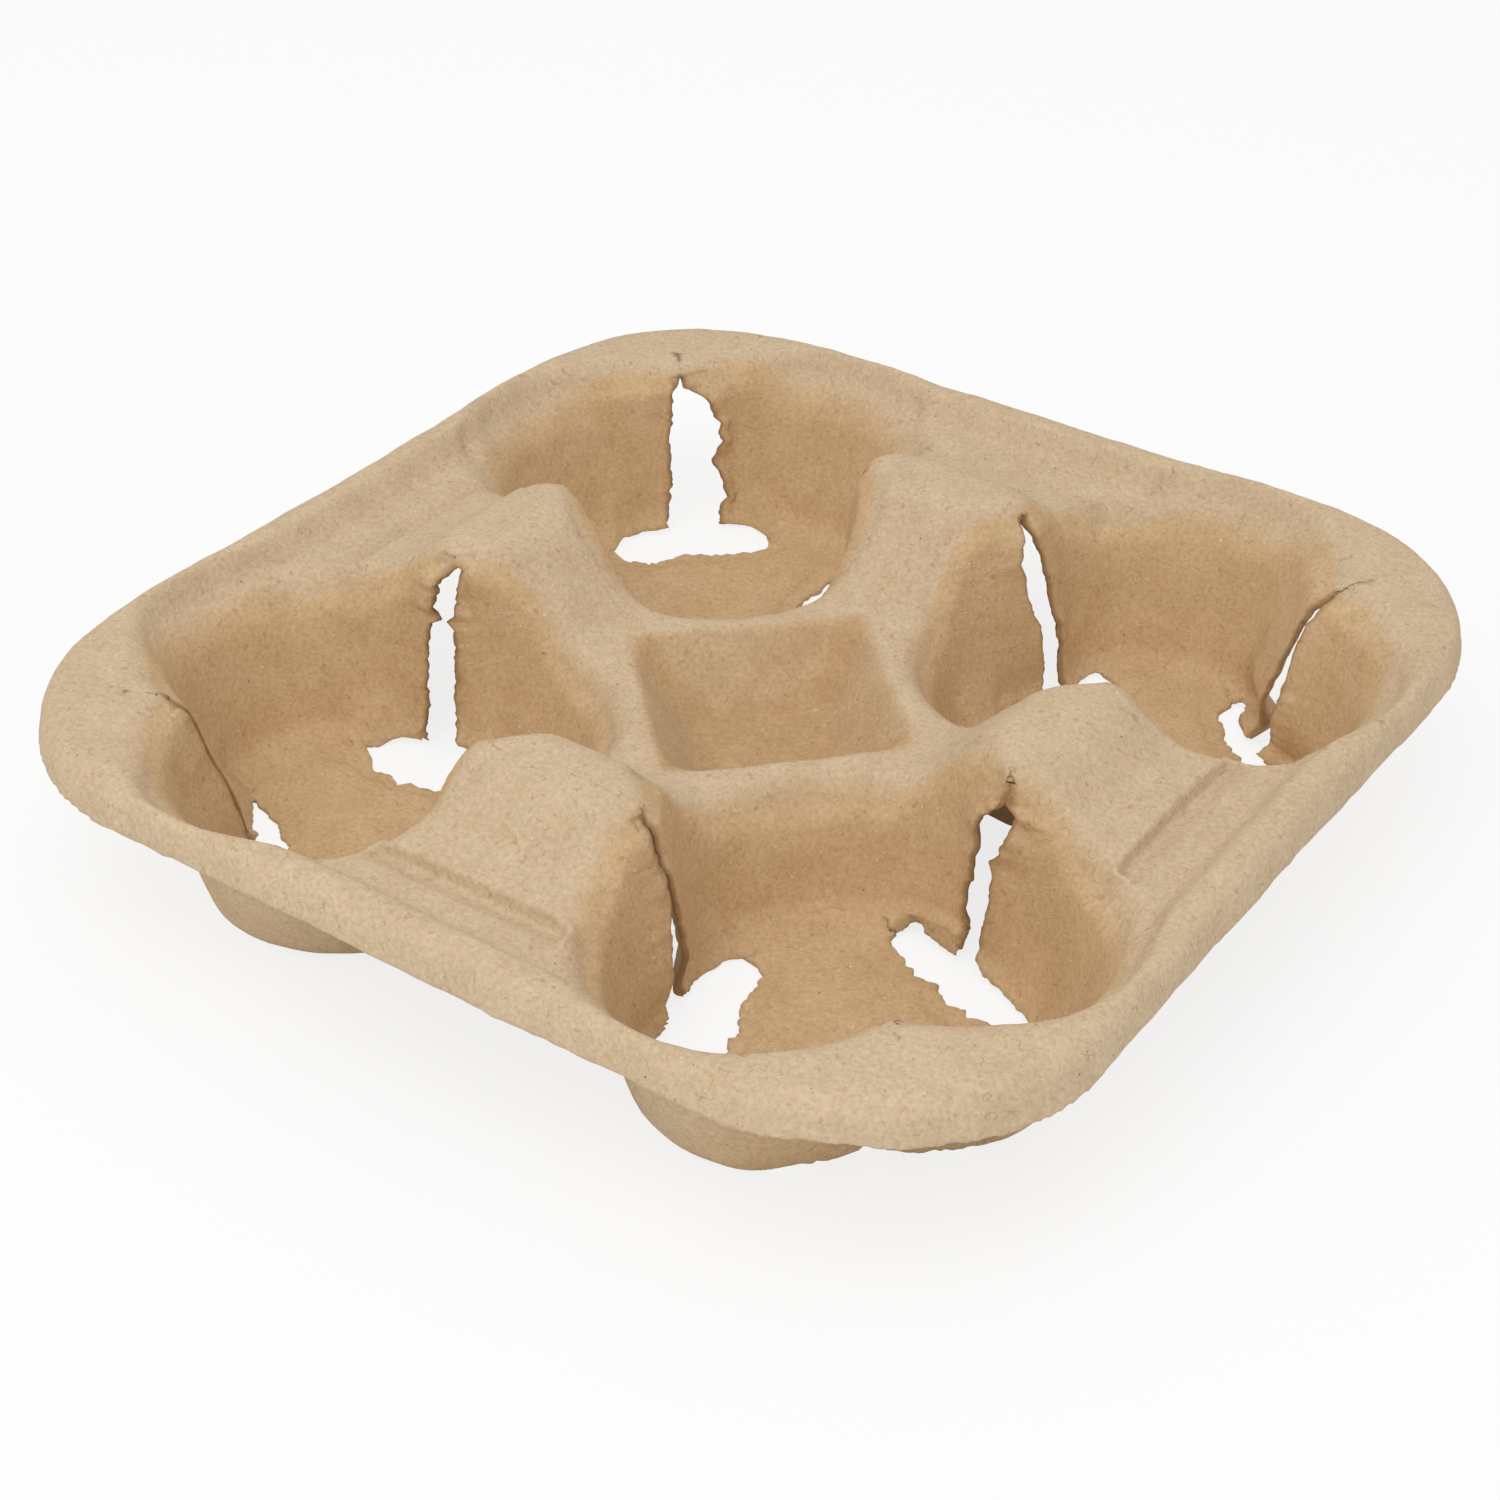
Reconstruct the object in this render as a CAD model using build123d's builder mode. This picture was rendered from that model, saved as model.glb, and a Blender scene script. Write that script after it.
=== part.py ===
from build123d import *
import math
import os

# Carrier tray for four cups, pressed from wet paper pulp and dried: one thin sheet, one piece.
# The sheet is the space between two skins. moulding() builds the solid that lies under a skin, once for
# the upper skin and once for the lower skin one wall lower, and the tray is the first less the second.
# The twelve slots with their T feet are cut last. Millimetres, +Z up, origin on the table at the middle.

# the sheet
wall = 2.0

# rim: a square ring with a flat rolled top and a short flared skirt
side = 218.0
corner_radius = 46.0
rim_height = 39.3
skirt_drop = 7.5
skirt_flare = 12.0
rim_roll = 4.0
core_inset = 6.0

# recess inside the rim, where the ledge of each side lies
recess_side = 195.0
recess_corner = 79.0
ledge_drop = 5.5
recess_slope = 39.0
recess_foot_radius = 3.5
recess_roll = 3.0
ledge_lap = 3.0

# cup wells: three round lobes each, which lean outward and meet in three upright folds
pitch = 106.4
lobe_offset_floor = 6.8
lobe_offset_rim = 18.6
lobe_radius = 28.6
fold_radius = 5.0
floor_radius = 6.0
well_edge = 3.0

# middle: a low square well turned by 45 degrees, and the ridge around it
ridge_drop = 12.8
middle_top = 47.0
middle_floor = 27.0
middle_depth = 13.5
middle_corner = 7.0
middle_bowl = 7.0
middle_edge = 2.0

# saddles between neighbouring wells, from the ridge out to the ledge
saddle_start = 38.0
saddle_rise = 55.0
saddle_fall = 68.0
saddle_lift = 5.0
terrace_start = 78.0
terrace_drop = 3.4
terrace_end = 92.0
saddle_foot_radius = 14.0
saddle_radius = 9.0
terrace_radius = 8.0
band_half = 46.0
block_side = 42.0

# grooves between the saddles and the ledge
groove_in = 86.6
groove_bed = 1.6
groove_length = 40.0
groove_drop = 7.4
groove_lean_in = 3.0
groove_lean_out = 22.0
groove_lean_end = 12.0
groove_corner = 0.75

# slots in the folds: an upright slit over a wide T foot that opens the floor and the foot of the wall
slit_width = 3.0
slit_near = 27.0
slit_far = 40.0
slit_drop_corner = 1.0
slit_lift_saddle = 3.2
foot_length = 35.0
foot_inner = 19.0
foot_bow = 4.5
foot_reach = 31.5
foot_corner = 3.0
foot_height = 3.4
step_length = 40.0
step_inner = 15.0
step_bow = 3.5
step_depth = 0.7

# heights that follow from the rim
ledge_height = rim_height - ledge_drop
ridge_height = rim_height - ridge_drop
saddle_height = rim_height + saddle_lift
terrace_height = rim_height - terrace_drop
groove_height = rim_height - groove_drop

# how far the cutters and the solids under the skins run past the tray
under = 12.0
above = saddle_height + under

# how near counts as the same place when corners and edges are picked
same = 0.01


def cup_well(grow):
    """One cup well: three leaning cylinders over a flat floor, walls and floor moved out by grow."""
    lean = math.degrees(math.atan2(lobe_offset_rim - lobe_offset_floor, rim_height - wall))
    with BuildPart() as well:
        with PolarLocations(0, 3, start_angle=60):
            with Locations(Location((lobe_offset_floor, 0, wall), (0, lean, 0))):
                Cylinder(lobe_radius + grow, 3 * above)
        with Locations((0, 0, wall - grow)):
            Cylinder(2 * lobe_radius, above, align=(Align.CENTER, Align.CENTER, Align.MIN), mode=Mode.INTERSECT)
        folds = well.edges().filter_by(GeomType.LINE, reverse=True)
        fillet(folds.filter_by(lambda e: e.bounding_box().size.Z > rim_height), fold_radius - grow)
        fillet(well.edges().group_by(Axis.Z)[0], floor_radius + grow)
    return well.part


def recess_outline(z, grow):
    """Half width and corner radius of the recess inside the rim at height z, moved out by grow."""
    lean = math.radians(recess_slope)
    shift = (z - ledge_height) * math.tan(lean) + grow / math.cos(lean)
    return recess_side / 2 + shift, recess_corner + shift


def recess(grow):
    """The shallow hollow inside the rim, down to the ledge, moved out by grow."""
    with BuildPart() as hollow:
        for z in (ledge_height - grow, rim_height - grow):
            with BuildSketch(Plane.XY.offset(z)):
                half, corner = recess_outline(z, grow)
                RectangleRounded(2 * half, 2 * half, corner)
        loft(ruled=True)
        fillet(hollow.edges().group_by(Axis.Z)[0], recess_foot_radius + grow)
    return hollow.part


def ring(grow):
    """The rim: skirt, rolled flat top and the slope down to the ledge."""
    top = rim_height + grow
    low = rim_height - skirt_drop
    core = side / 2 - core_inset
    shift = grow / math.cos(math.radians(skirt_flare))
    with BuildPart() as rim:
        with BuildSketch(Plane.XY.offset(low)):
            RectangleRounded(side + 2 * shift, side + 2 * shift, corner_radius + shift)
        extrude(amount=top - low, taper=skirt_flare)
        fillet(rim.edges().group_by(Axis.Z)[-1], rim_roll + grow)
        with BuildSketch(Plane.XY.offset(-under)):
            RectangleRounded(2 * core, 2 * core, corner_radius)
        extrude(amount=low + under)
        add(recess(-grow), mode=Mode.SUBTRACT)
        fillet(rim.faces().sort_by(Axis.Z)[-1].inner_wires().edges(), recess_roll + grow)
        with BuildSketch(Plane.XY.offset(-under)):
            half, corner = recess_outline(ledge_height, -ledge_lap)
            RectangleRounded(2 * half, 2 * half, corner)
        extrude(amount=under + top, mode=Mode.SUBTRACT)
    return rim.part


def saddle_band(grow):
    """Two opposite saddles and the ridge between them, under one skin."""
    low = -under + 2 * grow
    end = side / 2 - core_inset - wall / 2 - grow
    points = [
        (0, low), (0, ridge_height), (saddle_start, ridge_height), (saddle_rise, saddle_height),
        (saddle_fall, saddle_height), (terrace_start, terrace_height), (terrace_end, ledge_height),
        (end, ledge_height), (end, low)]
    rounds = [
        (saddle_start, saddle_foot_radius), (saddle_rise, saddle_radius), (saddle_fall, saddle_radius),
        (terrace_start, terrace_radius), (terrace_end, terrace_radius)]
    with BuildPart() as band:
        with BuildSketch(Plane.XZ.offset(-band_half)) as profile:
            with BuildLine():
                Polyline(*points, close=True)
            make_face()
            for place, radius in rounds:
                corner = profile.vertices().filter_by_position(Axis.X, place - same, place + same)
                fillet(corner.sort_by(Axis.Y)[-1], radius)
            mirror(about=Plane.YZ)
            if grow:
                offset(amount=grow, kind=Kind.INTERSECTION)
        extrude(amount=2 * band_half)
    return band.part


def middle_well(grow):
    """The square well in the middle of the tray, moved out by grow."""
    lean = math.atan((middle_top - middle_floor) / 2 / middle_depth)
    floor = ridge_height - middle_depth
    with BuildPart() as well:
        for z in (floor - grow, ridge_height + wall):
            shift = (z - floor) * math.tan(lean) + grow / math.cos(lean)
            with BuildSketch(Plane.XY.offset(z)):
                with Locations(Location((0, 0, 0), (0, 0, 45))):
                    RectangleRounded(middle_floor + 2 * shift, middle_floor + 2 * shift, middle_corner + grow)
        loft(ruled=True)
        fillet(well.edges().group_by(Axis.Z)[0], middle_bowl + grow)
    return well.part


def groove(grow):
    """Short trench at the foot of a saddle, along the side at +X, moved out by grow."""
    with BuildPart() as trench:
        for z, start, end, length in (
                (groove_height - grow, groove_in, groove_in + groove_bed, groove_length),
                (saddle_height, groove_in - groove_lean_in, groove_in + groove_bed + groove_lean_out,
                 groove_length + 2 * groove_lean_end)):
            with BuildSketch(Plane.XY.offset(z)):
                with Locations(((start + end) / 2, 0)):
                    RectangleRounded(end - start + 2 * grow, length + 2 * grow, groove_corner + grow)
        loft(ruled=True)
    return trench.part


def mouth_edges(form):
    """The edges where the walls of the cup wells run out into the top of the form."""
    walls = form.faces().filter_by(lambda f: 0 < f.bounding_box().min.Z < ridge_height - floor_radius)
    return ShapeList(e for f in walls for e in f.edges() if e.bounding_box().min.Z > ridge_height - wall)


def moulding(grow):
    """The solid under one skin of the tray: grow 0 for the upper skin, minus a wall for the lower."""
    apart = 2 * band_half + block_side
    with BuildPart() as body:
        add(ring(grow))
        add(saddle_band(grow))
        add(saddle_band(grow).rotate(Axis.Z, 90))
        with Locations((0, 0, -under)):
            with GridLocations(apart, apart, 2, 2):
                Box(block_side, block_side, ledge_height + grow + under,
                    align=(Align.CENTER, Align.CENTER, Align.MIN))
        with PolarLocations(pitch / math.sqrt(2), 4, start_angle=45):
            add(cup_well(-grow), mode=Mode.SUBTRACT)
        if not grow:
            fillet(mouth_edges(body), well_edge)
        add(middle_well(-grow), mode=Mode.SUBTRACT)
        if not grow:
            fillet(body.edges(Select.LAST).filter_by_position(
                Axis.Z, ridge_height - same, ridge_height + same), middle_edge)
        with PolarLocations(0, 4):
            add(groove(-grow), mode=Mode.SUBTRACT)
    return body.part


def slot(top):
    """Cutter for one slot, its fold toward +X: the upright slit and the T foot on the floor."""
    low = wall / 2
    with BuildPart() as cut:
        with BuildSketch(Plane.YZ.offset(slit_near)):
            with Locations((0, (low + top) / 2)):
                SlotOverall(top - low, slit_width, rotation=90)
        extrude(amount=slit_far - slit_near)
        with BuildSketch(Plane.XY.offset(-wall)) as foot:
            with BuildLine():
                inner = ThreePointArc(
                    (foot_inner + foot_bow, -foot_length / 2), (foot_inner, 0),
                    (foot_inner + foot_bow, foot_length / 2))
                Polyline(inner @ 1, (foot_reach, foot_length / 2), (foot_reach, -foot_length / 2), inner @ 0)
            make_face()
            fillet(foot.vertices(), foot_corner)
        extrude(amount=foot_height + wall)
        with BuildSketch(Plane.XY.offset(wall - step_depth)):
            with BuildLine():
                step = ThreePointArc(
                    (step_inner + step_bow, -step_length / 2), (step_inner, 0),
                    (step_inner + step_bow, step_length / 2))
                Polyline(step @ 1, (foot_inner + foot_bow, foot_length / 2),
                         (foot_inner + foot_bow, -foot_length / 2), step @ 0)
            make_face()
        extrude(amount=step_depth + wall)
    return cut.part


with BuildPart() as tray:
    add(moulding(0))
    add(moulding(-wall), mode=Mode.SUBTRACT)
    with PolarLocations(pitch / math.sqrt(2), 4, start_angle=45):
        add(slot(rim_height - slit_drop_corner), mode=Mode.SUBTRACT)
        with PolarLocations(0, 2, start_angle=120, angular_range=240):
            add(slot(rim_height + slit_lift_saddle), mode=Mode.SUBTRACT)

tray.part.label = "tray"
os.makedirs("parts", exist_ok=True)
export_step(tray.part, "parts/tray.step")
print("tray volume", round(tray.part.volume), "solids", len(tray.part.solids()),
      "faces", len(tray.part.faces()), "valid", tray.part.is_valid)
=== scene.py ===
# %% [markdown]
# # A moulded-pulp cup carrier
# The object is one sheet of paper pulp, about 2 mm thick. A wire mould is dipped in wet pulp, the fibres
# settle on it, and the sheet is pressed and dried. The CAD model holds its form and size. Here the sheet
# gets what drying and handling gave it: soft edges, torn slots, a wavy rim and a fibrous skin.

# %% Load the CAD model as a fixed frame
import math

import bpy
import numpy as np
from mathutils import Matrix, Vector


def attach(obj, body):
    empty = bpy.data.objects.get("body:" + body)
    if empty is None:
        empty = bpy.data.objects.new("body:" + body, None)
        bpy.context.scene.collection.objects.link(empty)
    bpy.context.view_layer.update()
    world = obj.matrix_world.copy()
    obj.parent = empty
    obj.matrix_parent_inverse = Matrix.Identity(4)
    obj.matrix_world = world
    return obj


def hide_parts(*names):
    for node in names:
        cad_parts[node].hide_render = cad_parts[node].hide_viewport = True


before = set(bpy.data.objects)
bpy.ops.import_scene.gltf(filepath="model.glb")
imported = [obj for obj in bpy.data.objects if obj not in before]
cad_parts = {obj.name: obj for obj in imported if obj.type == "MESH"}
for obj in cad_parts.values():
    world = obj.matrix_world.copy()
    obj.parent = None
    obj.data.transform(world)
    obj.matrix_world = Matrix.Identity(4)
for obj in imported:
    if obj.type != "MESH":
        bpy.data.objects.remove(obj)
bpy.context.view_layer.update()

MM = 0.001

# %% [markdown]
# ## Camera
# The photograph was taken from half a metre, from above the nearest corner, with a longish lens. Four
# values say where the camera stood: the point looked at, the distance, and the two angles. Azimuth turns it
# round the tray from the front side, and elevation lifts it above the table.

# %% Place the camera
RIM_HEIGHT = 39.3
LOOK_AT = (19.73, -33.40, RIM_HEIGHT)
DISTANCE = 484.6
AZIMUTH = 35.40
ELEVATION = 34.49
SENSOR = 36.0
LENS = 65.96
NEAREST_SEEN = 10.0

azimuth, elevation = math.radians(AZIMUTH), math.radians(ELEVATION)
towards_camera = Vector((
    math.sin(azimuth) * math.cos(elevation), -math.cos(azimuth) * math.cos(elevation), math.sin(elevation)))
bpy.ops.object.camera_add(
    location=(Vector(LOOK_AT) + towards_camera * DISTANCE) * MM,
    rotation=(math.radians(90) - elevation, 0, azimuth))
camera = bpy.context.object
camera.name = "camera"
camera.data.sensor_width = SENSOR
camera.data.lens = LENS
camera.data.clip_start = NEAREST_SEEN * MM
bpy.context.scene.camera = camera
bpy.context.scene.view_settings.view_transform = "Standard"
print("camera at", [round(v, 3) for v in camera.location])


# %% [markdown]
# ## Small helpers for materials
# Colours are written as sRGB hex values, the way a paint chart gives them, and one function turns them
# into the linear values that the renderer works with. A second function adds a node, sets its values and
# joins its inputs, so that each material reads as a list of steps. An input is named by its label, or by
# i and its number where the label stands for more than one input.

# %% Helpers for colours and nodes
def linear(code):
    """A colour from its sRGB hex code, as linear red, green, blue and alpha."""
    parts = [int(code[i:i + 2], 16) / 255 for i in (1, 3, 5)]
    return (*[p / 12.92 if p <= 0.04045 else ((p + 0.055) / 1.055) ** 2.4 for p in parts], 1.0)


def node(tree, kind, settings=None, **inputs):
    """Adds a node. Settings are its options, and inputs are values or other nodes' sockets."""
    made = tree.nodes.new(kind)
    for name, value in (settings or {}).items():
        setattr(made, name, value)
    for name, value in inputs.items():
        key = int(name[1:]) if name[0] == "i" and name[1:].isdigit() else name.replace("_", " ")
        if isinstance(value, bpy.types.NodeSocket):
            tree.links.new(value, made.inputs[key])
        else:
            made.inputs[key].default_value = value
    return made


def empty_material(name):
    """A new material with a cleared node tree."""
    material = bpy.data.materials.new(name)
    material.use_nodes = True
    material.node_tree.nodes.clear()
    return material


# %% [markdown]
# ## Light
# The tray was photographed in a white studio, where light comes from all sides and nothing lies in hard
# shade. A white world gives most of it, and one large lamp above the camera makes the near side a little
# brighter than the far one. What the camera sees of the world is plain white, whatever light it gives.

# %% World and lamp
WORLD_LIGHT = 0.735
LAMP_POWER = 4.5
LAMP_PLACE = (0.12, -0.55, 0.95)
LAMP_SIZE = 0.8


def seen_directly(tree):
    """1 where the camera sees a surface itself, in a gloss or through glass, else 0."""
    path = node(tree, "ShaderNodeLightPath")
    either = node(tree, "ShaderNodeMath", {"operation": "MAXIMUM"}, i0=path.outputs["Is Camera Ray"],
                  i1=path.outputs["Is Glossy Ray"])
    return node(tree, "ShaderNodeMath", {"operation": "MAXIMUM"}, i0=either.outputs[0],
                i1=path.outputs["Is Transmission Ray"]).outputs[0]


world = bpy.data.worlds.new("studio")
world.use_nodes = True
bpy.context.scene.world = world
sky = world.node_tree
sky.nodes.clear()
light = node(sky, "ShaderNodeBackground", None, Color=linear("#FFFFFF"), Strength=WORLD_LIGHT)
white = node(sky, "ShaderNodeBackground", None, Color=linear("#FFFFFF"), Strength=1.0)
both = node(sky, "ShaderNodeMixShader", None, i0=seen_directly(sky), i1=light.outputs[0], i2=white.outputs[0])
node(sky, "ShaderNodeOutputWorld", None, Surface=both.outputs[0])

bpy.ops.object.light_add(type="AREA", location=LAMP_PLACE,
                         rotation=(-Vector(LAMP_PLACE)).to_track_quat("-Z", "Y").to_euler())
lamp = bpy.context.object
lamp.name = "soft lamp"
lamp.data.size = LAMP_SIZE
lamp.data.energy = LAMP_POWER
print("world", WORLD_LIGHT, "and lamp", LAMP_POWER, "W")

# %% [markdown]
# ## Floor
# The tray stands on white studio paper that runs on behind it without an edge. A real floor would come out
# grey here and there, so most of it simply shines white for the camera. It keeps a small part of its own
# shading, and that part is what carries the tray's soft shadow.

# %% Floor
FLOOR_SIZE = 6.0
FLOOR_SHADE = 0.2

bpy.ops.mesh.primitive_plane_add(size=FLOOR_SIZE, location=(0, 0, 0))
floor = bpy.context.object
floor.name = "floor"
table_top = empty_material("white studio table")
tree = table_top.node_tree
shaded = node(tree, "ShaderNodeBsdfDiffuse", None, Color=linear("#F4F4F4"))
glow = node(tree, "ShaderNodeEmission", None, Color=linear("#FFFFFF"), Strength=1.0)
shine = node(tree, "ShaderNodeMath", {"operation": "MULTIPLY"}, i0=seen_directly(tree), i1=1 - FLOOR_SHADE)
mixed = node(tree, "ShaderNodeMixShader", None, i0=shine.outputs[0], i1=shaded.outputs[0], i2=glow.outputs[0])
node(tree, "ShaderNodeOutputMaterial", None, Surface=mixed.outputs[0])
floor.data.materials.append(table_top)
print("floor", FLOOR_SIZE, "m wide")

# %% [markdown]
# ## The sheet
# The CAD mesh has the right form, but its triangles are long and its edges are sharp. Pulp has no sharp
# edge anywhere. So a copy of the mesh is merged and rebuilt from small even voxels, much finer than the
# wall, and smoothed a little. That rounds every edge and gives points close enough together to tear.
# The tears themselves follow numbers, so they are made by moving points with numpy and not by hand tools.

# %% Copy the sheet and rebuild it from small voxels
VOXEL = 0.6
SOFTEN_STEPS = 4
SAME_POINT = 0.01


def make_active(piece):
    """Selects one object alone and makes it the active one."""
    bpy.ops.object.select_all(action="DESELECT")
    piece.select_set(True)
    bpy.context.view_layer.objects.active = piece


def apply_modifier(piece, kind, **settings):
    """Adds a modifier, sets it and applies it to the mesh."""
    made = piece.modifiers.new(kind.lower(), kind)
    for name, value in settings.items():
        setattr(made, name, value)
    make_active(piece)
    bpy.ops.object.modifier_apply(modifier=made.name)


tray = bpy.data.objects.new("pulp_tray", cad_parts["tray"].data.copy())
bpy.context.scene.collection.objects.link(tray)
make_active(tray)
bpy.ops.object.mode_set(mode="EDIT")
bpy.ops.mesh.select_all(action="SELECT")
bpy.ops.mesh.remove_doubles(threshold=SAME_POINT * MM)
bpy.ops.object.mode_set(mode="OBJECT")
apply_modifier(tray, "REMESH", mode="VOXEL", voxel_size=VOXEL * MM, adaptivity=0.0)
apply_modifier(tray, "SMOOTH", factor=0.5, iterations=SOFTEN_STEPS)
print("sheet rebuilt with", len(tray.data.vertices), "points")

# %% [markdown]
# ## Warp
# A dried pulp sheet is never quite flat. A slow waviness of a few tenths of a millimetre moves both skins
# together, and lumps of settled fibre thicken it here and there. Both are cloud textures used by displace
# modifiers, which are applied, so that the shape is in the mesh and not only in the material.

# %% Warp the sheet
WAVE_SIZE = 38.0
WAVE_HEIGHT = 1.1
LUMP_SIZE = 7.0
LUMP_HEIGHT = 0.45


def clouds(name, size, colour="GRAYSCALE"):
    """A cloud texture whose clouds are about the size given, in millimetres."""
    made = bpy.data.textures.new(name, "CLOUDS")
    made.noise_scale = size * MM
    made.noise_depth = 2
    made.cloud_type = colour
    return made


apply_modifier(tray, "DISPLACE", texture=clouds("waviness", WAVE_SIZE, "COLOR"), texture_coords="LOCAL",
               direction="RGB_TO_XYZ", strength=WAVE_HEIGHT * MM, mid_level=0.5)
apply_modifier(tray, "DISPLACE", texture=clouds("lumps", LUMP_SIZE), texture_coords="LOCAL",
               direction="NORMAL", strength=LUMP_HEIGHT * MM, mid_level=0.5)
print("sheet warped by up to", WAVE_HEIGHT / 2, "mm, with lumps of", LUMP_HEIGHT / 2, "mm")

# %% [markdown]
# ## Slots
# Each well has three slots, and no two of them are alike: the wet sheet tears on the mould's blades, and
# the panels beside a slot lean in or out. The CAD slot is straight and 3 mm wide. Here each slot gets its
# own two edges, as a few heights with the place of the right and left edge and how far out the panels
# stand there, and the points beside it are moved over, less and less with distance. Torn pulp thins out
# towards its edge, so the outer skin is drawn in there. Looking out from the middle of the well, left and
# out are positive. Slots that the photograph hides get the plain row. The sizes above the tables are the
# CAD model's own: how far apart the wells are, how wide and how high the slots run, and the three leaning
# round lobes of a well, given by their radius and by how far out they stand at two heights.

# %% Where the wells and slots are and how the slots' edges run
PITCH = 106.4
SLIT = 3.0
CORNER_TOP = 38.3
SADDLE_TOP = 42.5
LOBE_RADIUS = 28.6
LOBE_OFFSET = (6.8, 18.6)
LOBE_HEIGHTS = (2.0, 39.3)
WELLS = {"right": (1, 1, 45), "back": (-1, 1, 135), "left": (-1, -1, 225), "front": (1, -1, 315)}
PLAIN = [(40, -1.3, 1.3, 0), (26, -1.5, 1.5, -1.5), (12, -1.7, 1.7, -2.3), (3, -1.9, 1.9, -2)]
SLOTS = {
    ("back", 0): [(38, -0.2, 0.2, 0), (35.4, -0.6, 0.8, 0), (34.6, -2.0, 1.4, 0), (32, -5.0, 1.8, 0),
                  (27, -7.6, 2.2, 0), (22, -8.3, 2.5, 0), (17.5, -5.8, 2.4, 0), (12, -8.4, 2.8, 0),
                  (8, -9.4, 3.4, 0), (5, -7.2, 3.2, 0), (2, -7.6, 3.0, 0)],
    ("back", 120): PLAIN,
    ("back", 240): PLAIN,
    ("left", 0): [(39, -0.3, 0.3, 0), (30, -0.35, 0.35, -2.5), (23, -0.45, 0.4, -4), (17, -0.4, 0.4, -5.8),
                  (10, -0.4, 0.4, -7.4), (3, -0.9, 0.9, -8.3)],
    ("left", 120): PLAIN,
    ("left", 240): [(42, -2.6, -1.2, 0), (37, -1.2, 2.4, 0), (31, -0.8, 3.3, 0), (29.8, 0.9, 1.6, 0),
                    (28.6, -0.8, 3.3, 0), (20, -1.3, 4.2, 0), (10, -0.6, 5.0, 0), (3, 0.0, 5.6, 0)],
    ("right", 0): [(38, -0.3, 0.3, 0), (31, -0.4, 0.3, -2.8), (24, -1.2, 0.4, -5.2), (20, -2.8, 0.5, -6.3),
                   (12, -4.0, 0.7, -8.4), (3, -3.8, 1.2, -8.2)],
    ("right", 120): [(41, -0.4, 0.3, -0.2), (38, -0.4, 0.4, -0.8), (36.5, -1.0, 1.6, -1.0),
                     (33, -2.5, 2.0, -1.5), (25, -3.6, 0.9, -2.5), (17, -5.6, -1.6, -3.6),
                     (10, -5.9, -2.5, -4.0), (3, -6.7, -3.0, -3.5)],
    ("right", 240): PLAIN,
    ("front", 0): [(38, -0.3, 0.3, 0), (30, -0.3, 0.3, -2.5), (20, -0.4, 0.4, -5), (10, -0.5, 0.5, -7.2),
                   (3, -0.6, 0.6, -8)],
    ("front", 120): [(43, -1.3, -1.9, 0), (37.6, -1.3, -1.9, 0), (36.4, -4.0, -0.6, 0), (33, -2.8, 2.8, 0),
                     (29, -1.6, 4.3, 0), (26, -0.9, 3.0, 0), (24.6, 0.6, 3.4, 0), (23, -0.3, 4.3, 0),
                     (10, 0.3, 4.2, 0), (3, 0.9, 4.1, 0)],
    ("front", 240): [(43, 0.1, -0.1, -0.2), (40.5, 0.1, -0.1, -0.4), (39, -0.3, 0.3, -0.8),
                     (35, -0.3, 0.4, -1.6), (26, -0.3, 0.9, -3.0), (20, -0.4, 2.4, -3.7),
                     (12, -0.9, 3.8, -4.2), (6, -1.6, 4.2, -3.0), (2, -2.0, 4.4, -2.2)],
}
print(len(SLOTS), "slots in", len(WELLS), "wells")

# %% [markdown]
# ## Moving points
# The points of the mesh are read into one array, moved there all at once and written back, in millimetres.
# Torn lines are drawn from random numbers with a fixed start, so that each run tears the sheet in the same
# way. Work beside a slot is done as seen from its well, so that one function serves all twelve slots.

# %% Helpers that move points
randoms = np.random.default_rng(11)


def points_of(piece):
    """The points of a mesh as an array, in millimetres."""
    flat = np.empty(len(piece.data.vertices) * 3)
    piece.data.vertices.foreach_get("co", flat)
    return flat.reshape(-1, 3) / MM


def put_points(piece, points):
    """Writes an array of points back to the mesh."""
    piece.data.vertices.foreach_set("co", (points * MM).ravel())
    piece.data.update()


def ragged(*scales):
    """A torn line: for each size and step given, knots a step apart that jump by about that size."""
    knots = [(np.arange(-60, 60, step), randoms.normal(0, size, len(np.arange(-60, 60, step))))
             for size, step in scales]
    return lambda at: sum(np.interp(at, places, jumps) for places, jumps in knots)


def fade(value, start, end):
    """A soft step from 0 at start to 1 at end."""
    t = np.clip((value - start) / (end - start), 0, 1)
    return t * t * (3 - 2 * t)


def between(value, places, results):
    """Reads a table of places and results at the values given, whichever way the places run."""
    order = np.argsort(places)
    return np.interp(value, np.array(places)[order], np.array(results)[order])


def to_slot(points, well, turn):
    """Points seen from a well: x out along the slot's direction, y to its left, z up."""
    side_x, side_y, corner = WELLS[well]
    angle = math.radians(corner + turn)
    x, y = points[:, 0] - side_x * PITCH / 2, points[:, 1] - side_y * PITCH / 2
    return np.stack([x * math.cos(angle) + y * math.sin(angle),
                     y * math.cos(angle) - x * math.sin(angle), points[:, 2]], 1)


def from_slot(local, well, turn):
    """The way back from to_slot."""
    side_x, side_y, corner = WELLS[well]
    angle = math.radians(corner + turn)
    x, y = local[:, 0], local[:, 1]
    return np.stack([x * math.cos(angle) - y * math.sin(angle) + side_x * PITCH / 2,
                     x * math.sin(angle) + y * math.cos(angle) + side_y * PITCH / 2, local[:, 2]], 1)


# %% Give each slot its torn edges
TORN_STEPS = (0.2, 0.75), (0.22, 2.4), (0.25, 6.0)
CALM_TOP = (41, 36)


def edge_line(heights, places):
    """One edge of a slot over its height: its own table, and a torn line that calms towards the top."""
    torn = ragged(*TORN_STEPS)
    return lambda z: between(z, heights, places) + torn(z) * fade(z, *CALM_TOP)


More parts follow.
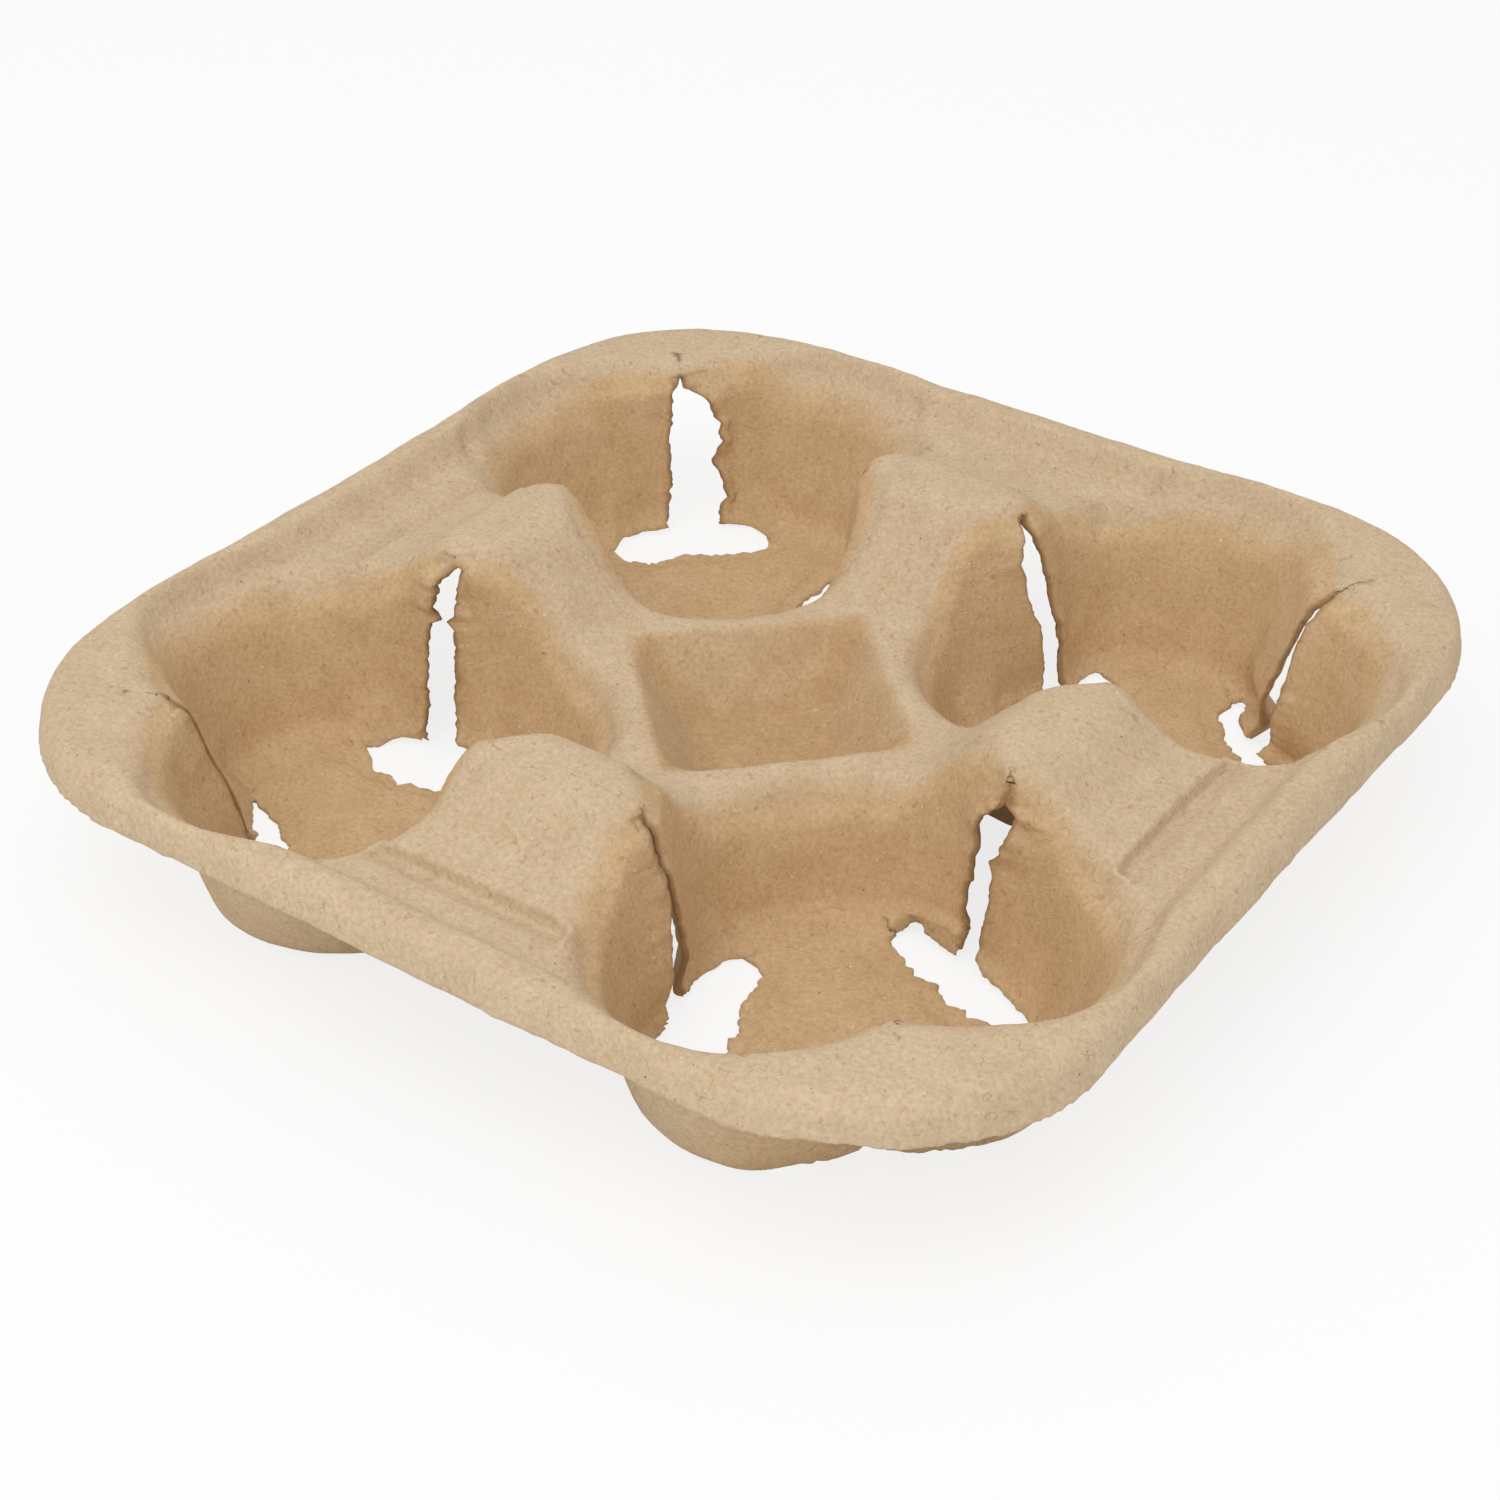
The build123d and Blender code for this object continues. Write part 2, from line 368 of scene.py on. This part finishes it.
EDGES, LEANS = {}, {}
for slot, rows in SLOTS.items():
    heights, rights, lefts, outs = zip(*rows)
    EDGES[slot] = edge_line(heights, rights), edge_line(heights, lefts)
    LEANS[slot] = heights, outs
widths = [left - right for rows in SLOTS.values() for _, right, left, _ in rows]
print("widest slot", round(max(widths), 1), "mm")

# %% Move the sheet beside each slot
AREA = (22, 44)
REACH = 7.0
FOLLOWS = (22, 26)
OVER_FLOOR = (0.5, 3.0)
LEAN_REACH = 14.0
LEAN_FOLLOWS = (23, 28)
LEFT_PANELS = {("right", 0): 7.0}
WALL = 2.0
TORN_SLOPE = 0.6
FEATHER = 0.6
FEATHER_REACH = 1.6
FEATHER_LOW = (3, 6)
OVERLAP = 0.15
FAR_END = (35.5, 37.5)


def wall_line(y, z):
    """How far out the well's inner skin lies beside a fold."""
    offset = np.interp(z, LOBE_HEIGHTS, LOBE_OFFSET)
    side = np.clip(abs(y) - offset * math.sin(math.radians(60)), -LOBE_RADIUS, LOBE_RADIUS)
    return offset / 2 + np.sqrt(LOBE_RADIUS ** 2 - side ** 2)


def lean_share(y, slot):
    """How much of a slot's lean reaches a place beside it. A pushed-in left panel leans as a whole."""
    flat = np.where(y > 0, LEFT_PANELS.get(slot, 0.0), 0.0)
    return np.exp(-(np.maximum(abs(y) - flat, 0) / LEAN_REACH) ** 2)


def open_slot(points, slot):
    """Moves both edges of one slot to their own lines, its panels in or out, and closes its far end."""
    top = SADDLE_TOP if slot[1] else CORNER_TOP
    local = to_slot(points, *slot)
    near = (local[:, 0] > AREA[0]) & (local[:, 0] < AREA[1]) & (abs(local[:, 1]) < 3 * LEAN_REACH)
    x, y, z = local[near].T
    right, left = [edge(z) for edge in EDGES[slot]]
    out = between(z, *LEANS[slot])
    closed = fade(x, *FAR_END) * fade(z, top - 4.5, top - 3)
    right, left = right * (1 - closed) + OVERLAP * closed, left * (1 - closed) - OVERLAP * closed
    slope = TORN_SLOPE * np.clip(1 - (x - wall_line(y, z)) / WALL, 0, 1)
    move = np.where(y > 0, left + slope - SLIT / 2, right - slope + SLIT / 2)
    away = np.maximum(abs(y) - SLIT / 2, 0)
    share = np.exp(-(away / REACH) ** 2) * fade(z, top + 3, top - 1)
    share = share * fade(z, *OVER_FLOOR) * fade(x, *FOLLOWS)
    thin = FEATHER * np.exp(-(away / FEATHER_REACH) ** 2) * fade(z, top, top - 3) * fade(z, *FEATHER_LOW)
    skin = np.clip(x - wall_line(y, z), 0, WALL) * (x - wall_line(y, z) < 2 * WALL)
    local[near, 0] = x - skin * thin + out * lean_share(y, slot) * fade(x, *LEAN_FOLLOWS)
    local[near, 1] = y + move * share
    points[near] = from_slot(local[near], *slot)


sheet = points_of(tray)
for slot in SLOTS:
    open_slot(sheet, slot)
put_points(tray, sheet)
print(len(SLOTS), "slots opened")

# %% [markdown]
# ## Torn feet
# At the bottom of each slot a wide piece of the floor is missing. Its inner edge is torn, not cut, and
# the wall's foot hangs over it, lower in one place than in another. Two short lists say so for each foot:
# how far out the inner edge lies, and how high and how far out the wall's lower edge ends. Places in both
# lists run from the right end of the foot to its left end.

# %% How the feet are torn
PLAIN_INNER = [(-17, 22.5), (-8, 19.6), (0, 19.4), (8, 19.8), (17, 22.0)]
PLAIN_LOWER = [(-17, 2.2, 28.5), (0, 2.8, 30.0), (17, 2.0, 28.2)]
INNER = {
    ("back", 0): [(-17.3, 21.4), (-12.6, 18.9), (-5, 18.9), (1.2, 21.2), (4.6, 20.5), (9, 18.5), (15.5, 20),
                  (17.3, 24)],
    ("left", 0): [(-17, 24), (-14.5, 22.6), (-12, 20.7), (-6.5, 19.4), (-1.2, 17.8), (4.6, 17.6), (17, 19)],
    ("left", 240): [(-17, 20), (-5, 18.3), (0, 17.1), (4, 18.4), (7.5, 18.9), (12, 20), (14, 23.4), (17, 27)],
    ("right", 0): [(-17, 21), (-9, 20), (-4, 21.2), (1, 20), (5.7, 20.2), (15, 22.3), (18.5, 26)],
    ("right", 120): [(-17.7, 22), (-14.3, 20), (-8, 19.6), (0, 19), (8, 19.8), (17, 23)],
    ("front", 120): [(-17, 24.5), (-10, 24.2), (-3, 22.6), (1.5, 24.7), (6.7, 23.0), (12.6, 25.3),
                     (17.5, 27)],
    ("front", 240): [(-17, 22.5), (-15, 20.6), (-11, 19.4), (-4, 20.2), (1, 18.6), (10, 18.7), (17, 19.5)],
}
LOWER = {
    ("back", 0): [(-17, 1.3, 28), (-14.7, 1.4, 30.3), (-8, 2.6, 31.3), (3.3, 2.4, 31.5), (8.2, 2.2, 31),
                  (14.2, 1.6, 29.2), (17, 1.3, 26.5)],
    ("left", 0): [(-17, 1, 24.5), (-9.6, 1, 23.3), (0, 1, 23), (8, 1.5, 25), (17, 2.5, 28)],
    ("left", 240): [(-17, 3.4, 30.5), (-2, 3.4, 30.5), (5, 5.0, 31.5), (8, 3.5, 30.5), (12, 1.7, 30),
                    (16, 0.8, 27.5)],
    ("right", 0): [(-17, 2.5, 29), (-7.5, 1.5, 28.5), (-4, 4, 27), (0, 7.5, 25.0), (3, 5, 26.5),
                   (8.7, 1.5, 28.9), (13.6, 1.2, 29), (19, 1.2, 28.7)],
    ("right", 120): [(-17, 1.6, 28.5), (-8, 1.5, 27), (2, 2.0, 29.3), (8, 2.0, 29.3), (12, 1.6, 27),
                     (17, 1.5, 26)],
    ("front", 0): [(-17, 2.5, 27), (0, 1.5, 23.5), (17, 2.5, 27)],
    ("front", 120): [(-16, 1.0, 29.3), (-8.5, 2.5, 30), (-1, 3.6, 31.5), (3, 7.0, 31.5), (11, 6.4, 31),
                     (17.5, 5.5, 30.7)],
    ("front", 240): [(-17.5, 1.0, 26.4), (-11.7, 1.5, 28.5), (-2, 2.0, 29.8), (2, 3.2, 30), (17, 3.4, 30.5)],
}
print(len(INNER), "floor edges and", len(LOWER), "wall edges follow the photograph")

# %% Tear the feet
FOOT_INNER = 19.0
FOOT_BOW = 4.5
FOOT_HALF = 17.5
FOOT_TOP = 3.4
FOOT_OUTER = 30.5
FOOT_REACH = 5.0
HANG_REACH = 5.0
FOOT_AREA = (5, 40)
FOOT_AREA_TOP = 20
FLOOR_TOP = 2.9
FOOT_FOLLOWS = (22.5, 26)
OFF_THE_TABLE = (1.2, 3.0)
FLOOR_TEARS = (0.3, 0.8), (0.4, 2.6)
WALL_TEARS = (0.15, 0.9), (0.25, 3.0)


def tear_foot(points, slot):
    """Gives the floor edge and the wall's lower edge of one foot their own lines."""
    local = to_slot(points, *slot)
    near = (local[:, 0] > FOOT_AREA[0]) & (local[:, 0] < FOOT_AREA[1])
    near &= (abs(local[:, 1]) < FOOT_HALF + 6) & (local[:, 2] < FOOT_AREA_TOP)
    x, y, z = local[near].T
    cut = FOOT_INNER + FOOT_BOW * (y / FOOT_HALF) ** 2
    places, inner = zip(*INNER.get(slot, PLAIN_INNER))
    edge = between(y, places, inner) + ragged(*FLOOR_TEARS)(y) - cut
    on_floor = np.exp(-(np.maximum(cut - x, 0) / FOOT_REACH) ** 2) * (x < cut + 3) * (z < FLOOR_TOP)
    side = fade(abs(y), FOOT_HALF + 5, FOOT_HALF - 0.5)
    places, low, outer = zip(*LOWER.get(slot, PLAIN_LOWER))
    lean = between(FOOT_TOP, *LEANS[slot]) * lean_share(y, slot)
    hang = between(y, places, low) + ragged(*WALL_TEARS)(y) - FOOT_TOP
    pull = between(y, places, outer) + ragged(*WALL_TEARS)(y) - FOOT_OUTER - lean
    on_wall = np.exp(-(np.maximum(z - FOOT_TOP, 0) / HANG_REACH) ** 2)
    on_wall = on_wall * fade(x, *FOOT_FOLLOWS) * fade(z, *OFF_THE_TABLE)
    local[near, 0] = x + (edge * on_floor + pull * on_wall) * side
    local[near, 2] = z + hang * on_wall * side
    points[near] = from_slot(local[near], *slot)


sheet = points_of(tray)
for slot in SLOTS:
    tear_foot(sheet, slot)
put_points(tray, sheet)
print(len(SLOTS), "feet torn")

# %% [markdown]
# ## Softer mouths
# The CAD rounds the wells' mouths by 3 mm. Wet pulp sags over such an edge, and the dry sheet rolls over it
# far more softly. Seen in section, the rounded corner moves out and down by the same amount, which is the
# difference between a wide and a narrow arc. It needs the height of the sheet beside each mouth, which is
# read from a coarse map of the highest point in each square millimetre. The move fades out, both ways, past
# the limits named below: how far out from the wall a point lies, and how far down from the sheet's top.

# %% Helpers for the mouths
CAD_ROUND = 3.0
SOFT_ROUND = 7.5
MAP_HALF = 130
BESIDE = 6.0


def corner_line(along, radius):
    """How far a rounded corner's skin lies from the corner, measured as distance out plus distance down."""
    inside = np.minimum(abs(along), radius)
    return np.where(abs(along) < radius, 2 * radius - np.sqrt(2 * radius ** 2 - inside ** 2), abs(along))


def top_map(points):
    """The height of the sheet's top, in cells of one millimetre."""
    tops = np.full((2 * MAP_HALF, 2 * MAP_HALF), -99.0)
    cells = np.round(points[:, :2]).astype(int) + MAP_HALF
    np.maximum.at(tops, (cells[:, 0], cells[:, 1]), points[:, 2])
    return tops


def from_the_walls(points):
    """How far outside the nearest well wall each point lies, which way is out, and a spot beside it."""
    offset = np.interp(points[:, 2], LOBE_HEIGHTS, LOBE_OFFSET)
    nearest = np.full(len(points), 99.0)
    away, beside = np.zeros((len(points), 2)), np.zeros((len(points), 2))
    for side_x, side_y, corner in WELLS.values():
        for turn in (60, 180, 300):
            angle = math.radians(corner + turn)
            centre = np.stack([side_x * PITCH / 2 + offset * math.cos(angle),
                               side_y * PITCH / 2 + offset * math.sin(angle)], 1)
            across = np.maximum(np.hypot(*(points[:, :2] - centre).T), 1)
            out = (points[:, :2] - centre) / across[:, None]
            away += out * np.exp(np.clip(LOBE_RADIUS - across, -30, 30) / 2)[:, None]
            closer = across - LOBE_RADIUS < nearest
            nearest[closer] = (across - LOBE_RADIUS)[closer]
            beside[closer] = (centre + out * (LOBE_RADIUS + BESIDE))[closer]
    return nearest, away / np.maximum(np.hypot(*away.T), 1e-9)[:, None], beside


# %% Round the mouths
FADE_OUT, FADE_IN = (9, 7.5), (-3, -1)
FADE_DOWN, FADE_UP = (10, 8), (-6, -3)
UNDER_OUT, UNDER_DOWN = (2.5, 4.5), (3, 5)


def round_mouths(points):
    """Gives the mouths of the cup wells a softer rounding, and leaves alone what hangs under the top."""
    tops = top_map(points)
    nearest, away, beside = from_the_walls(points)
    cells = np.clip(np.round(beside).astype(int) + MAP_HALF, 0, 2 * MAP_HALF - 1)
    down = tops[cells[:, 0], cells[:, 1]] - points[:, 2]
    along = nearest - down
    move = (corner_line(along, SOFT_ROUND) - corner_line(along, CAD_ROUND)) / 2
    share = fade(nearest, *FADE_OUT) * fade(nearest, *FADE_IN) * fade(down, *FADE_DOWN) * fade(down, *FADE_UP)
    move *= share * (1 - fade(nearest, *UNDER_OUT) * fade(down, *UNDER_DOWN))
    points[:, :2] += away * move[:, None]
    points[:, 2] -= move
    return move.max()


sheet = points_of(tray)
print("mouths rounded, largest move", round(round_mouths(sheet), 2), "mm")
put_points(tray, sheet)

# %% [markdown]
# ## Hoods
# Over some slots the mould's blade pressed a narrow hood into the fold before the sheet tore. Each hood is
# a recess with steep sides: the place of its right and left side, its low and top height, and its depth.

# %% Press the hoods
HOODS = {("front", 120): (-7.4, -0.2, 34.0, 44.5, 1.0), ("front", 240): (-2.8, 3.0, 33.0, 42.5, 0.9),
         ("left", 240): (-4.6, 3.6, 34.0, 43.2, 1.0), ("back", 0): (-6.8, 2.4, 33.0, 37.6, 1.0),
         ("right", 0): (-3.2, 1.6, 33.0, 39.0, 0.8), ("right", 120): (-2.2, 1.6, 35.0, 42.0, 0.8)}
HOOD_SIDE = 0.9
HOOD_NEAR = (29, 31)
HOOD_FAR = (42, 38)


def press_hood(points, slot):
    """Presses a narrow recess with steep sides into the fold above one slot."""
    right, left, low, top, depth = HOODS[slot]
    local = to_slot(points, *slot)
    x, y, z = local.T
    inside = fade(y, right, right + HOOD_SIDE) * fade(y, left, left - HOOD_SIDE)
    inside = inside * fade(z, low - 3, low) * fade(z, top, top - 1.0)
    local[:, 0] = x + depth * inside * fade(x, *HOOD_NEAR) * fade(x, *HOOD_FAR)
    points[:] = from_slot(local, *slot)


sheet = points_of(tray)
for slot in HOODS:
    press_hood(sheet, slot)
print(len(HOODS), "hoods pressed")

# %% [markdown]
# ## Mouths and skirt
# The mouths of the wells open a little wider beside the rim than the CAD's even rounding. The skirt sags at
# the nearest corner and has an uneven lower edge. Each sag is a place in degrees round the tray, a half
# width and a depth. A negative depth lifts the edge. The points that the hoods have moved are moved on, and
# are written back to the mesh when all is done.

# %% Widen the mouths and let the skirt sag
MOUTH_SHIFTS = {"right": 3.2, "back": 3.0, "left": 3.2, "front": 1.6}
MOUTH_REACH = 7.0
MOUTH_AHEAD = (0.5, 0.85)
MOUTH_HEIGHTS = (26, 37)
SKIRT_FROM = (98, 101)
SKIRT_TOP = 38.5
SKIRT_LOW = 31.8
SKIRT_ABOVE = 28
SKIRT_DROP = 0.2
SKIRT_TEARS = (0.12, 0.35), (0.2, 2.0)
SAGS = [(-35, 9, 1.3), (-50, 5, -1.4)]


def widen_mouths(points):
    """Moves the mouth of each outer lobe out where it meets the rim."""
    offset = np.interp(points[:, 2], LOBE_HEIGHTS, LOBE_OFFSET)
    for well, (side_x, side_y, corner) in WELLS.items():
        for turn in (60, 300):
            angle = math.radians(corner + turn)
            x = points[:, 0] - side_x * PITCH / 2 - offset * math.cos(angle)
            y = points[:, 1] - side_y * PITCH / 2 - offset * math.sin(angle)
            across = np.hypot(x, y)
            ahead = (x * math.cos(angle) + y * math.sin(angle)) / np.maximum(across, 1)
            push = MOUTH_SHIFTS[well] * np.exp(-((across - LOBE_RADIUS) / MOUTH_REACH) ** 2)
            push = push * fade(ahead, *MOUTH_AHEAD) * fade(points[:, 2], *MOUTH_HEIGHTS)
            push = push / np.maximum(across, 1)
            points[:, 0] += x * push
            points[:, 1] += y * push


def sag_skirt(points):
    """Lets the skirt hang lower or higher beside the front corner and makes its lower edge uneven."""
    x, y, z = points.T
    around = np.degrees(np.arctan2(y, x))
    outer = fade(np.maximum(abs(x), abs(y)), *SKIRT_FROM) * fade(z, SKIRT_TOP, SKIRT_LOW) * (z > SKIRT_ABOVE)
    sag = sum(depth * np.exp(-((around - place) / half) ** 2) for place, half, depth in SAGS)
    points[:, 2] = z - outer * (sag + ragged(*SKIRT_TEARS)(around / 3) + SKIRT_DROP)


widen_mouths(sheet)
sag_skirt(sheet)
sheet[:, 2] = np.maximum(sheet[:, 2], 0)
put_points(tray, sheet)
skirt = sheet[abs(sheet[:, :2]).max(1) > SKIRT_FROM[1]]
print("skirt's lowest edge", round(skirt[:, 2].min(), 1), "mm above the table")

# %% [markdown]
# ## Fewer triangles where the sheet is smooth
# More than a million small triangles are too many. Collapsing edges takes them out where the sheet is
# smooth and leaves them along the tears and the rounded edges, which is where the eye needs them.

# %% Thin out the mesh
TRIANGLES = 190_000

tray.data.calc_loop_triangles()
apply_modifier(tray, "DECIMATE", ratio=min(1.0, TRIANGLES / len(tray.data.loop_triangles)))
make_active(tray)
bpy.ops.object.shade_smooth()
tray.data.calc_loop_triangles()
print("tray has", len(tray.data.loop_triangles), "triangles")

# %% [markdown]
# ## Where shade is painted on the skin
# The painted colour is not the same everywhere. The tops are paler and greyer, and the insides of the wells
# are painted browner and darker, the middle well most of all: painted shade and warm bounce light of the
# hollows. The edges of the slots are painted darkest, as painted shade of the narrow slits. Three painted
# values on the points say this: inside, middle and torn. They come from the form itself: how far a point
# lies within a well's outline, and how near it is to an edge of a slot.

# %% Paint the values on the points
MIDDLE_HALF = (13.5, 23.5)
MIDDLE_HEIGHTS = (13.0, 26.5)
# These two edges say where the painted shade of the wells and of the middle well fades in.
WELL_SHADE_EDGE = (-4.4, -1.6)
MIDDLE_SHADE_EDGE = (-1.6, 1.0)
# The painted shade along the slot edges fades out over this band.
SLOT_SHADE_BAND = (1.5, 0.3)
WALL_FROM, WALL_TO = (22, 25), (38, 36)


def depth_in_wells(points):
    """How far each point lies within the outline of a cup well, in mm."""
    offset = np.interp(points[:, 2], LOBE_HEIGHTS, LOBE_OFFSET)
    best = np.full(len(points), -99.0)
    for side_x, side_y, corner in WELLS.values():
        for turn in (60, 180, 300):
            angle = math.radians(corner + turn)
            across = np.hypot(points[:, 0] - side_x * PITCH / 2 - offset * math.cos(angle),
                              points[:, 1] - side_y * PITCH / 2 - offset * math.sin(angle))
            best = np.maximum(best, LOBE_RADIUS - across)
    return best


def depth_in_middle(points):
    """How far each point lies within the outline of the middle well, in mm."""
    diagonal = np.maximum(abs(points[:, 0] + points[:, 1]), abs(points[:, 0] - points[:, 1])) / math.sqrt(2)
    depth = np.interp(points[:, 2], MIDDLE_HEIGHTS, MIDDLE_HALF) - diagonal
    return np.where(points[:, 2] > MIDDLE_HEIGHTS[0] - 1, depth, -99)


def nearness_to_tears(points):
    """1 at the edge of a slot, falling to 0 a millimetre and a half away."""
    near = np.zeros(len(points))
    for slot in SLOTS:
        top = SADDLE_TOP if slot[1] else CORNER_TOP
        x, y, z = to_slot(points, *slot).T
        away = np.minimum(*[abs(y - edge(z)) for edge in EDGES[slot]])
        wall = fade(x, *WALL_FROM) * fade(x, *WALL_TO) * fade(z, top + 1, top - 2)
        near = np.maximum(near, fade(away, *SLOT_SHADE_BAND) * wall)
    return near


def paint(piece, name, values):
    """Stores one value for each point of the mesh."""
    made = piece.data.attributes.new(name, "FLOAT", "POINT")
    made.data.foreach_set("value", values.astype(np.float32))


sheet = points_of(tray)
# The inside and middle values place painted shade in the wells, darkest in the middle well.
paint(tray, "inside", fade(depth_in_wells(sheet), *WELL_SHADE_EDGE))
paint(tray, "middle", fade(depth_in_middle(sheet), *MIDDLE_SHADE_EDGE))
# The torn value places painted shade of the narrow slits along each slot's edges.
paint(tray, "torn", nearness_to_tears(sheet))
print("painted", len(sheet), "points")

# %% [markdown]
# ## Kraft pulp
# The material is unbleached kraft pulp, moulded wet and dried: dull and light brown. Clouds of slightly
# paler and browner fibre lie side by side, single fibres show as short curved hairlines, and a few specks
# of bark or white paper stand out. The skin has no gloss. Real fibres are 0.03 mm thick, too fine to show
# at this distance, so they are drawn about 0.2 mm wide, as thick as the bundles that the photograph shows.
# The clouds are about 7 mm across, as pulp settles on the wire, and the skin's grain and relief are 0.9
# and 0.55 mm. Sizes, spacings and radii below are in millimetres. Width and amount are shares of a noise's
# range: how thick a fibre is drawn and how much of the skin shows fibres. Rarity is the share of cells
# that stay without a speck.

# %% Patterns of fibres and specks
def hairlines(tree, place, size, seed, width, amount):
    """Short curved lines: where one noise passes through its middle, and only where another is high."""
    line = node(tree, "ShaderNodeTexNoise", {"noise_dimensions": "4D"}, Vector=place, W=seed,
                Scale=1 / (size * MM), Detail=0.0)
    off = node(tree, "ShaderNodeMath", {"operation": "SUBTRACT"}, i0=line.outputs[0], i1=0.5)
    flat = node(tree, "ShaderNodeMath", {"operation": "ABSOLUTE"}, i0=off.outputs[0])
    thin = node(tree, "ShaderNodeMapRange", None, i0=flat.outputs[0], i1=width / 2, i2=width, i3=1.0, i4=0.0)
    cut = node(tree, "ShaderNodeTexNoise", {"noise_dimensions": "4D"}, Vector=place, W=seed + 5,
               Scale=1 / (0.8 * size * MM), Detail=0.0)
    some = node(tree, "ShaderNodeMapRange", None, i0=cut.outputs[0], i1=1 - amount, i2=1.05 - amount, i3=0.0,
                i4=1.0)
    return node(tree, "ShaderNodeMath", {"operation": "MULTIPLY"}, i0=thin.outputs[0],
                i1=some.outputs[0]).outputs[0]


def specks(tree, place, spacing, radius, channel, rarity):
    """Small round specks on a few of the cells that divide the surface."""
    cells = node(tree, "ShaderNodeTexVoronoi", None, Vector=place, Scale=1 / (spacing * MM))
    dot = node(tree, "ShaderNodeMapRange", None, i0=cells.outputs["Distance"], i1=0.6 * radius / spacing,
               i2=radius / spacing, i3=1.0, i4=0.0)
    pick = node(tree, "ShaderNodeSeparateColor", None, i0=cells.outputs["Color"])
    rare = node(tree, "ShaderNodeMath", {"operation": "GREATER_THAN"}, i0=pick.outputs[channel], i1=rarity)
    return node(tree, "ShaderNodeMath", {"operation": "MULTIPLY"}, i0=dot.outputs[0],
                i1=rare.outputs[0]).outputs[0]


# %% Kraft pulp material
PATCH_SIZE = 7.0
GRAIN_SIZE = 0.9
RELIEF_SIZE = 0.55
RELIEF_HEIGHT = 0.09
DARK_FIBRES = {"size": 2.0, "seed": 1.0, "width": 0.035, "amount": 0.40}
PALE_FIBRES = {"size": 1.8, "seed": 9.0, "width": 0.035, "amount": 0.39}
BARK = {"spacing": 3.6, "radius": 0.22, "channel": 0, "rarity": 0.78}
PAPER = {"spacing": 3.4, "radius": 0.2, "channel": 1, "rarity": 0.74}


def kraft_pulp():
    """Unbleached moulded pulp, dull and fibrous."""
    material = empty_material("unbleached kraft pulp, moulded")
    tree = material.node_tree
    place = node(tree, "ShaderNodeTexCoord").outputs["Object"]
    inside, middle, torn = [node(tree, "ShaderNodeAttribute", {"attribute_name": name}).outputs["Fac"]
                            for name in ("inside", "middle", "torn")]
    patches = node(tree, "ShaderNodeTexNoise", None, Vector=place, Scale=1 / (PATCH_SIZE * MM), Detail=3.0)
    grain, rough = [node(tree, "ShaderNodeTexNoise", None, Vector=place, Scale=1 / (size * MM), Detail=3.0,
                         Roughness=0.6) for size in (GRAIN_SIZE, RELIEF_SIZE)]
    cloudy = node(tree, "ShaderNodeMapRange", None, i0=patches.outputs[0], i1=0.35, i2=0.65, i3=0.0, i4=1.0)
    grainy = node(tree, "ShaderNodeMapRange", None, i0=grain.outputs[0], i1=0.3, i2=0.7, i3=0.0, i4=1.0)
    mix = {"data_type": "RGBA"}
    # Outside the wells the colour is paler and greyer. The wells' browner colour and the middle well's darker
    # one are painted shade and warm bounce light; the last pair is the grain's random tone.
    outside_wells_colour, well_shade_colour, middle_shade_colour, shade = [
        node(tree, "ShaderNodeMix", mix, i0=share.outputs[0], i6=linear(first), i7=linear(second)).outputs[2]
        for share, first, second in ((cloudy, "#D2BB9B", "#D8C1A2"), (cloudy, "#D2B389", "#D9BB93"),
                                     (cloudy, "#C2A077", "#CAA97F"), (grainy, "#E7E2DB", "#FFFFFF"))]
    # Painted shade: browner in the wells and darker still in the middle well.
    skin = node(tree, "ShaderNodeMix", mix, i0=inside, i6=outside_wells_colour, i7=well_shade_colour).outputs[2]
    skin = node(tree, "ShaderNodeMix", mix, i0=middle, i6=skin, i7=middle_shade_colour).outputs[2]
    skin = node(tree, "ShaderNodeMix", {**mix, "blend_type": "MULTIPLY"}, i0=1.0, i6=skin,
                i7=shade).outputs[2]
    pale = hairlines(tree, place, **PALE_FIBRES)
    # The fibres and specks are the pulp's own colours. The last colour, on the torn value, is painted shade
    # along the slot edges.
    for pattern, strength, colour in ((hairlines(tree, place, **DARK_FIBRES), 0.4, "#A07A4E"),
                                      (pale, 0.3, "#E6D4B8"),
                                      (specks(tree, place, **BARK), 1.0, "#7D5B38"),
                                      (specks(tree, place, **PAPER), 1.0, "#F0E6D4"),
                                      (torn, 0.7, "#8A6238")):
        share = node(tree, "ShaderNodeMath", {"operation": "MULTIPLY"}, i0=pattern, i1=strength).outputs[0]
        skin = node(tree, "ShaderNodeMix", mix, i0=share, i6=skin, i7=linear(colour)).outputs[2]
    relief = node(tree, "ShaderNodeMath", {"operation": "ADD"}, i0=rough.outputs[0], i1=pale)
    bump = node(tree, "ShaderNodeBump", None, Strength=1.0, Distance=RELIEF_HEIGHT * MM,
                Height=relief.outputs[0])
    shader = node(tree, "ShaderNodeBsdfPrincipled", None, Base_Color=skin, Roughness=0.95, IOR=1.45,
                  Specular_IOR_Level=0.25, Normal=bump.outputs[0])
    node(tree, "ShaderNodeOutputMaterial", None, Surface=shader.outputs[0])
    return material


tray.data.materials.clear()
tray.data.materials.append(kraft_pulp())
print("material", tray.data.materials[0].name)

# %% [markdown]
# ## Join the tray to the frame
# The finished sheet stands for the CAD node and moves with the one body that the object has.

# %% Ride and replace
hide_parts("tray")
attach(tray, "root")
